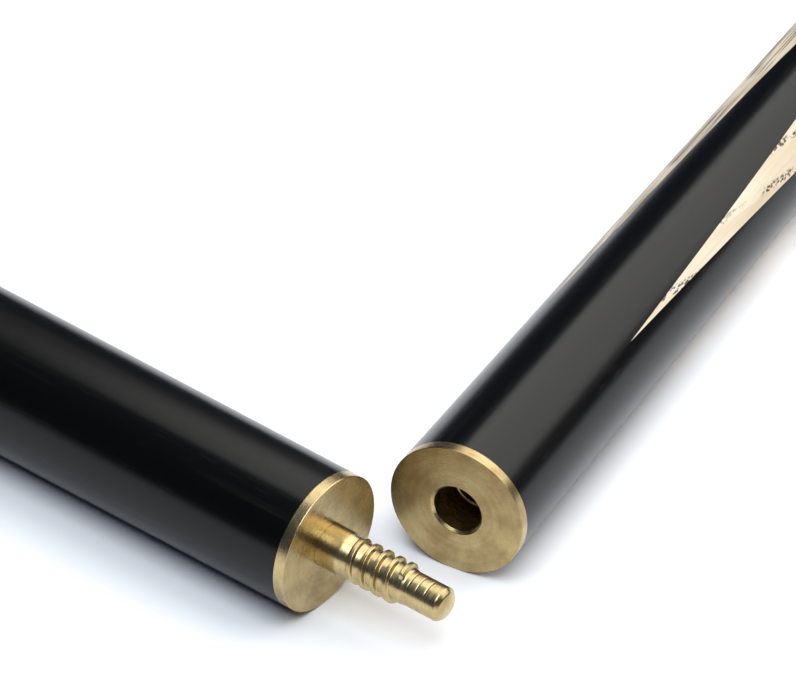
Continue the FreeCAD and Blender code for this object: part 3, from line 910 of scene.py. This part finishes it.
class MakePin(bpy.types.Operator):
    """The brass screw pin: its stem, thread and domed nose"""

    bl_idname = "cue.pin"
    bl_label = "Pin"

    # Where the tool left rings on the nose, and their depth and width.
    RINGS = (0.0189, 0.0206, 0.0224)
    RING_DEPTH = 0.00003
    RING_WIDTH = 0.00014

    # The nose's dome: the first step back and the shares of the nose's radius at its two corners.
    DOME_STEP = 0.00075
    DOME_SHARES = (0.79, 0.44)

    # How far before the ends of the stem and the nose the finer steps start and stop.
    FINE_MARGINS = (0.0007, 0.0011)

    def execute(self, context):
        s = sizes()
        place = butt_place()
        front = -s.collar - COLLAR_GAP
        corners = [
            (front - s.stud_length, 0.0),
            (front - s.stud_length, s.stud_radius),
            (front - HAIR, s.stud_radius),
            (front, s.stem_radius),
            (s.stem_length, s.stem_radius),
            (s.full_depth, s.root_radius),
            (s.root_end, s.root_radius),
            (s.nose_start, s.nose_radius),
            (s.nose_end, s.nose_radius),
            (s.nose_end + self.DOME_STEP, s.nose_radius * self.DOME_SHARES[0]),
            (s.pin_length, s.nose_radius * self.DOME_SHARES[1]),
            (s.pin_length + HAIR, 0.0),
        ]
        outline = rounded(corners, [EDGE] * 3 + [SOFT, 0.0004, EDGE, EDGE, 0.0005, 0.0004, 0.0002])
        fine = (s.stem_length - self.FINE_MARGINS[0], s.nose_end - self.FINE_MARGINS[1])
        x = np.linspace(*fine, PIN_STEPS)
        middle = np.interp(x, outline[:, 0], outline[:, 1])
        middle -= tool_rings(x, self.RINGS, self.RING_DEPTH, self.RING_WIDTH)
        before, after = outline[outline[:, 0] < fine[0]], outline[outline[:, 0] > fine[1]]
        rows = np.vstack([before, np.column_stack([x, middle]), after])
        turns = (s.pin_thread_start - s.bore_thread_start) / s.pitch + 0.5
        ends = (s.pin_thread_start, s.pin_thread_end, s.pitch, s.thread_phase + 2 * math.pi * turns)
        a = angles(s.sides)[None, :]
        ridge = ridge_height(rows[:, :1], a, *ends, s.pin_ridge_top, s.pin_ridge_base)
        radius = rows[:, 1:] + ridge * np.maximum(s.crest_radius - rows[:, 1:], 0)
        shine = brass("pin brass", place, dullness_and_shade=0.30, rings=1.3)
        piece("brass_pin", uneven_lathe(rows[:, 0], radius), place, BUTT_BODY, shine, "joint_pin")
        return {"FINISHED"}


class MakeCollar(bpy.types.Operator):
    """The brass collar behind the pin"""

    bl_idname = "cue.collar"
    bl_label = "Pin collar"

    def execute(self, context):
        s = sizes()
        place = butt_place()
        back = float(surface_radius(-s.collar))
        corners = holed(0.0, -s.collar, s.stem_radius + COLLAR_GAP, s.joint_radius, back)
        points = lathe(rounded(corners, [SHARP, RIM, SHARP, SHARP]), s.sides)
        shine = brass("collar brass", place, dullness_and_shade=0.40, rings=0.7, smoother=0.02)
        piece("brass_collar", points, place, COLLAR_BODY, shine, "pin_collar")
        return {"FINISHED"}


class MakeTip(bpy.types.Operator):
    """The brass ferrule and the domed leather tip"""

    bl_idname = "cue.tip"
    bl_label = "Tip and ferrule"

    def execute(self, context):
        s = sizes()
        place = shaft_place()
        leather_start = s.shaft_length - s.leather_height
        start = leather_start - s.ferrule_length
        corners = holed(start, leather_start, s.tenon_radius, s.tip_radius, s.tip_radius)
        points = lathe(rounded(corners, [SHARP, 0.00008, 0.00008, SHARP]), SMALL_SIDES)
        shine = brass("ferrule brass", place, dullness_and_shade=0.5)
        piece("brass_ferrule", points, place, SHAFT_BODY, shine, "tip_ferrule")
        crown = s.leather_height - s.leather_edge
        dome = (s.tip_radius**2 + crown**2) / (2 * crown)
        t = np.linspace(math.asin(s.tip_radius / dome), 0, 14)[1:]
        top = np.column_stack([s.shaft_length - dome * (1 - np.cos(t)), dome * np.sin(t)])
        corners = [
            (leather_start, 0.0),
            (leather_start, s.tip_radius),
            (leather_start + s.leather_edge, s.tip_radius),
            tuple(top[0]),
        ]
        points = lathe(np.vstack([rounded(corners, [SHARP, 0.0002]), top[1:]]), SMALL_SIDES)
        chalked = chalked_leather("leather", place)
        piece("leather_disc", points, place, SHAFT_BODY, chalked, "leather_tip")
        return {"FINISHED"}


class MakeBumper(bpy.types.Operator):
    """The rubber bumper at the butt end, with its screw and washer"""

    bl_idname = "cue.bumper"
    bl_label = "Bumper"

    # The rounding of the end's rim: how far along and how far in its two corners lie.
    RIM_ALONG = (0.0005, 0.0018)
    RIM_IN = (0.0009, 0.0)

    def execute(self, context):
        s = sizes()
        place = butt_place()
        end = -s.butt_length
        wood = end + s.bumper_thickness
        seat = end + s.washer_depth
        corners = [
            (seat + s.screw_depth, 0.0),
            (seat + s.screw_depth, s.screw_radius),
            (seat, s.screw_radius),
            (seat, s.washer_radius),
            (end, s.washer_radius),
            (end, s.bumper_face),
            *((end + x, s.butt_radius - inset) for x, inset in zip(self.RIM_ALONG, self.RIM_IN)),
            (wood, s.butt_radius),
            (wood, WEIGHT_BORE),
            (wood + s.plug_length, WEIGHT_BORE),
            (wood + s.plug_length, 0.0),
        ]
        outline = rounded(corners, [EDGE] * 3 + [0.0004, 0.0008, 0.0006, 0.0006] + [EDGE] * 3)
        rubber = moulded_rubber("rubber", place)
        points = lathe(outline, s.sides)
        piece("rubber_end", points, place, BUTT_BODY, rubber, "rubber_bumper")
        steel = plated_steel("plated steel", place)
        for node in ("bumper_screw", "bumper_washer", "weight_bolt"):
            self.coat(node, steel)
        self.coat("pin_insert", brass("insert brass", place, dullness_and_shade=0.6))
        return {"FINISHED"}

    @staticmethod
    def coat(node, material):
        """Gives a kept CAD node its material."""
        for slot in FRAME["nodes"][node].material_slots:
            slot.material = material


class MakeStage(bpy.types.Operator):
    """The floor, the back softbox, the overhead fill light and the camera"""

    bl_idname = "cue.stage"
    bl_label = "Stage"

    def execute(self, context):
        stage = context.scene.cue_stage
        self.floor(stage)
        self.room(context, stage)
        box, fill = (stage.box_width, stage.box_depth), (stage.fill_width, stage.fill_width)
        self.softbox("back_softbox", stage.box_at, box, stage.box_power, stage.box_tint)
        self.softbox("overhead_fill", stage.fill_at, fill, stage.fill_power, stage.fill_tint)
        self.camera(context, stage)
        context.scene.view_settings.view_transform = "Standard"
        return {"FINISHED"}

    @staticmethod
    def floor(stage):
        """A flat square, its corners at plus and minus half its side."""
        half = stage.floor_size / 2
        corners = np.array([(-1, -1, 0), (1, -1, 0), (1, 1, 0), (-1, 1, 0)]) * half
        mesh = bpy.data.meshes.new("floor")
        mesh.from_pydata(corners.tolist(), [], [(0, 1, 2, 3)])
        mesh.materials.append(Tree("floor").surface((*stage.floor, 1), 0.9, Specular_IOR_Level=0.1))
        made = linked("floor", mesh)

    @staticmethod
    def room(context, stage):
        """A dim even room."""
        world = bpy.data.worlds.new("room")
        world.use_nodes = True
        world.node_tree.nodes["Background"].inputs["Color"].default_value = (*stage.ambient, 1)
        context.scene.world = world

    @staticmethod
    def softbox(name, at, size, power, tint):
        """A level rectangular light that shines down."""
        light = bpy.data.lights.new(name, "AREA")
        light.shape = "RECTANGLE"
        light.size, light.size_y = size
        light.energy = power
        light.color = tint
        linked(name, light).location = at

    @staticmethod
    def camera(context, stage):
        """The camera, back along its view from the point it looks at. Its view comes from heading and
        pitch, its right side is level and square to that, and both side directions then roll."""
        level = math.cos(stage.pitch)
        heading = Vector((math.cos(stage.heading), math.sin(stage.heading), 0))
        ahead = heading * level - Vector((0, 0, math.sin(stage.pitch)))
        right = Vector((heading.y, -heading.x, 0))
        up = right.cross(ahead)
        c, s = math.cos(stage.roll), math.sin(stage.roll)
        lens = bpy.data.cameras.new("camera")
        lens.lens = stage.lens
        lens.sensor_width = stage.sensor
        lens.clip_end = stage.far
        spot = Vector(stage.target) - ahead * stage.distance
        turn = Matrix((right * c + up * s, up * c - right * s, -ahead)).transposed().to_4x4()
        context.scene.camera = linked("camera", lens)
        context.scene.camera.matrix_world = Matrix.Translation(spot) @ turn


MAKERS = (
    MakeShaftWood,
    MakeButtWood,
    MakeSocket,
    MakePin,
    MakeCollar,
    MakeTip,
    MakeBumper,
    MakeStage,
)


class CuePanel(bpy.types.Panel):
    """Lists the cue's pieces"""

    bl_idname = "VIEW3D_PT_cue"
    bl_label = "Jointed cue"
    bl_space_type = "VIEW_3D"
    bl_region_type = "UI"
    bl_category = "Cue"

    def draw(self, context):
        for maker in MAKERS:
            self.layout.operator(maker.bl_idname)


CLASSES = (CueSizes, CueFinish, CueStage, *MAKERS, CuePanel)


def register():
    """Registers the classes and hangs the settings on the scene."""
    for item in CLASSES:
        bpy.utils.register_class(item)
    bpy.types.Scene.cue_sizes = PointerProperty(type=CueSizes)
    bpy.types.Scene.cue_finish = PointerProperty(type=CueFinish)
    bpy.types.Scene.cue_stage = PointerProperty(type=CueStage)


def unregister():
    """Takes the settings off the scene and unregisters the classes."""
    del bpy.types.Scene.cue_stage
    del bpy.types.Scene.cue_finish
    del bpy.types.Scene.cue_sizes
    for item in reversed(CLASSES):
        bpy.utils.unregister_class(item)


def main():
    register()
    for maker in MAKERS:
        group, name = maker.bl_idname.split(".")
        getattr(getattr(bpy.ops, group), name)()


if __name__ == "__main__":
    main()
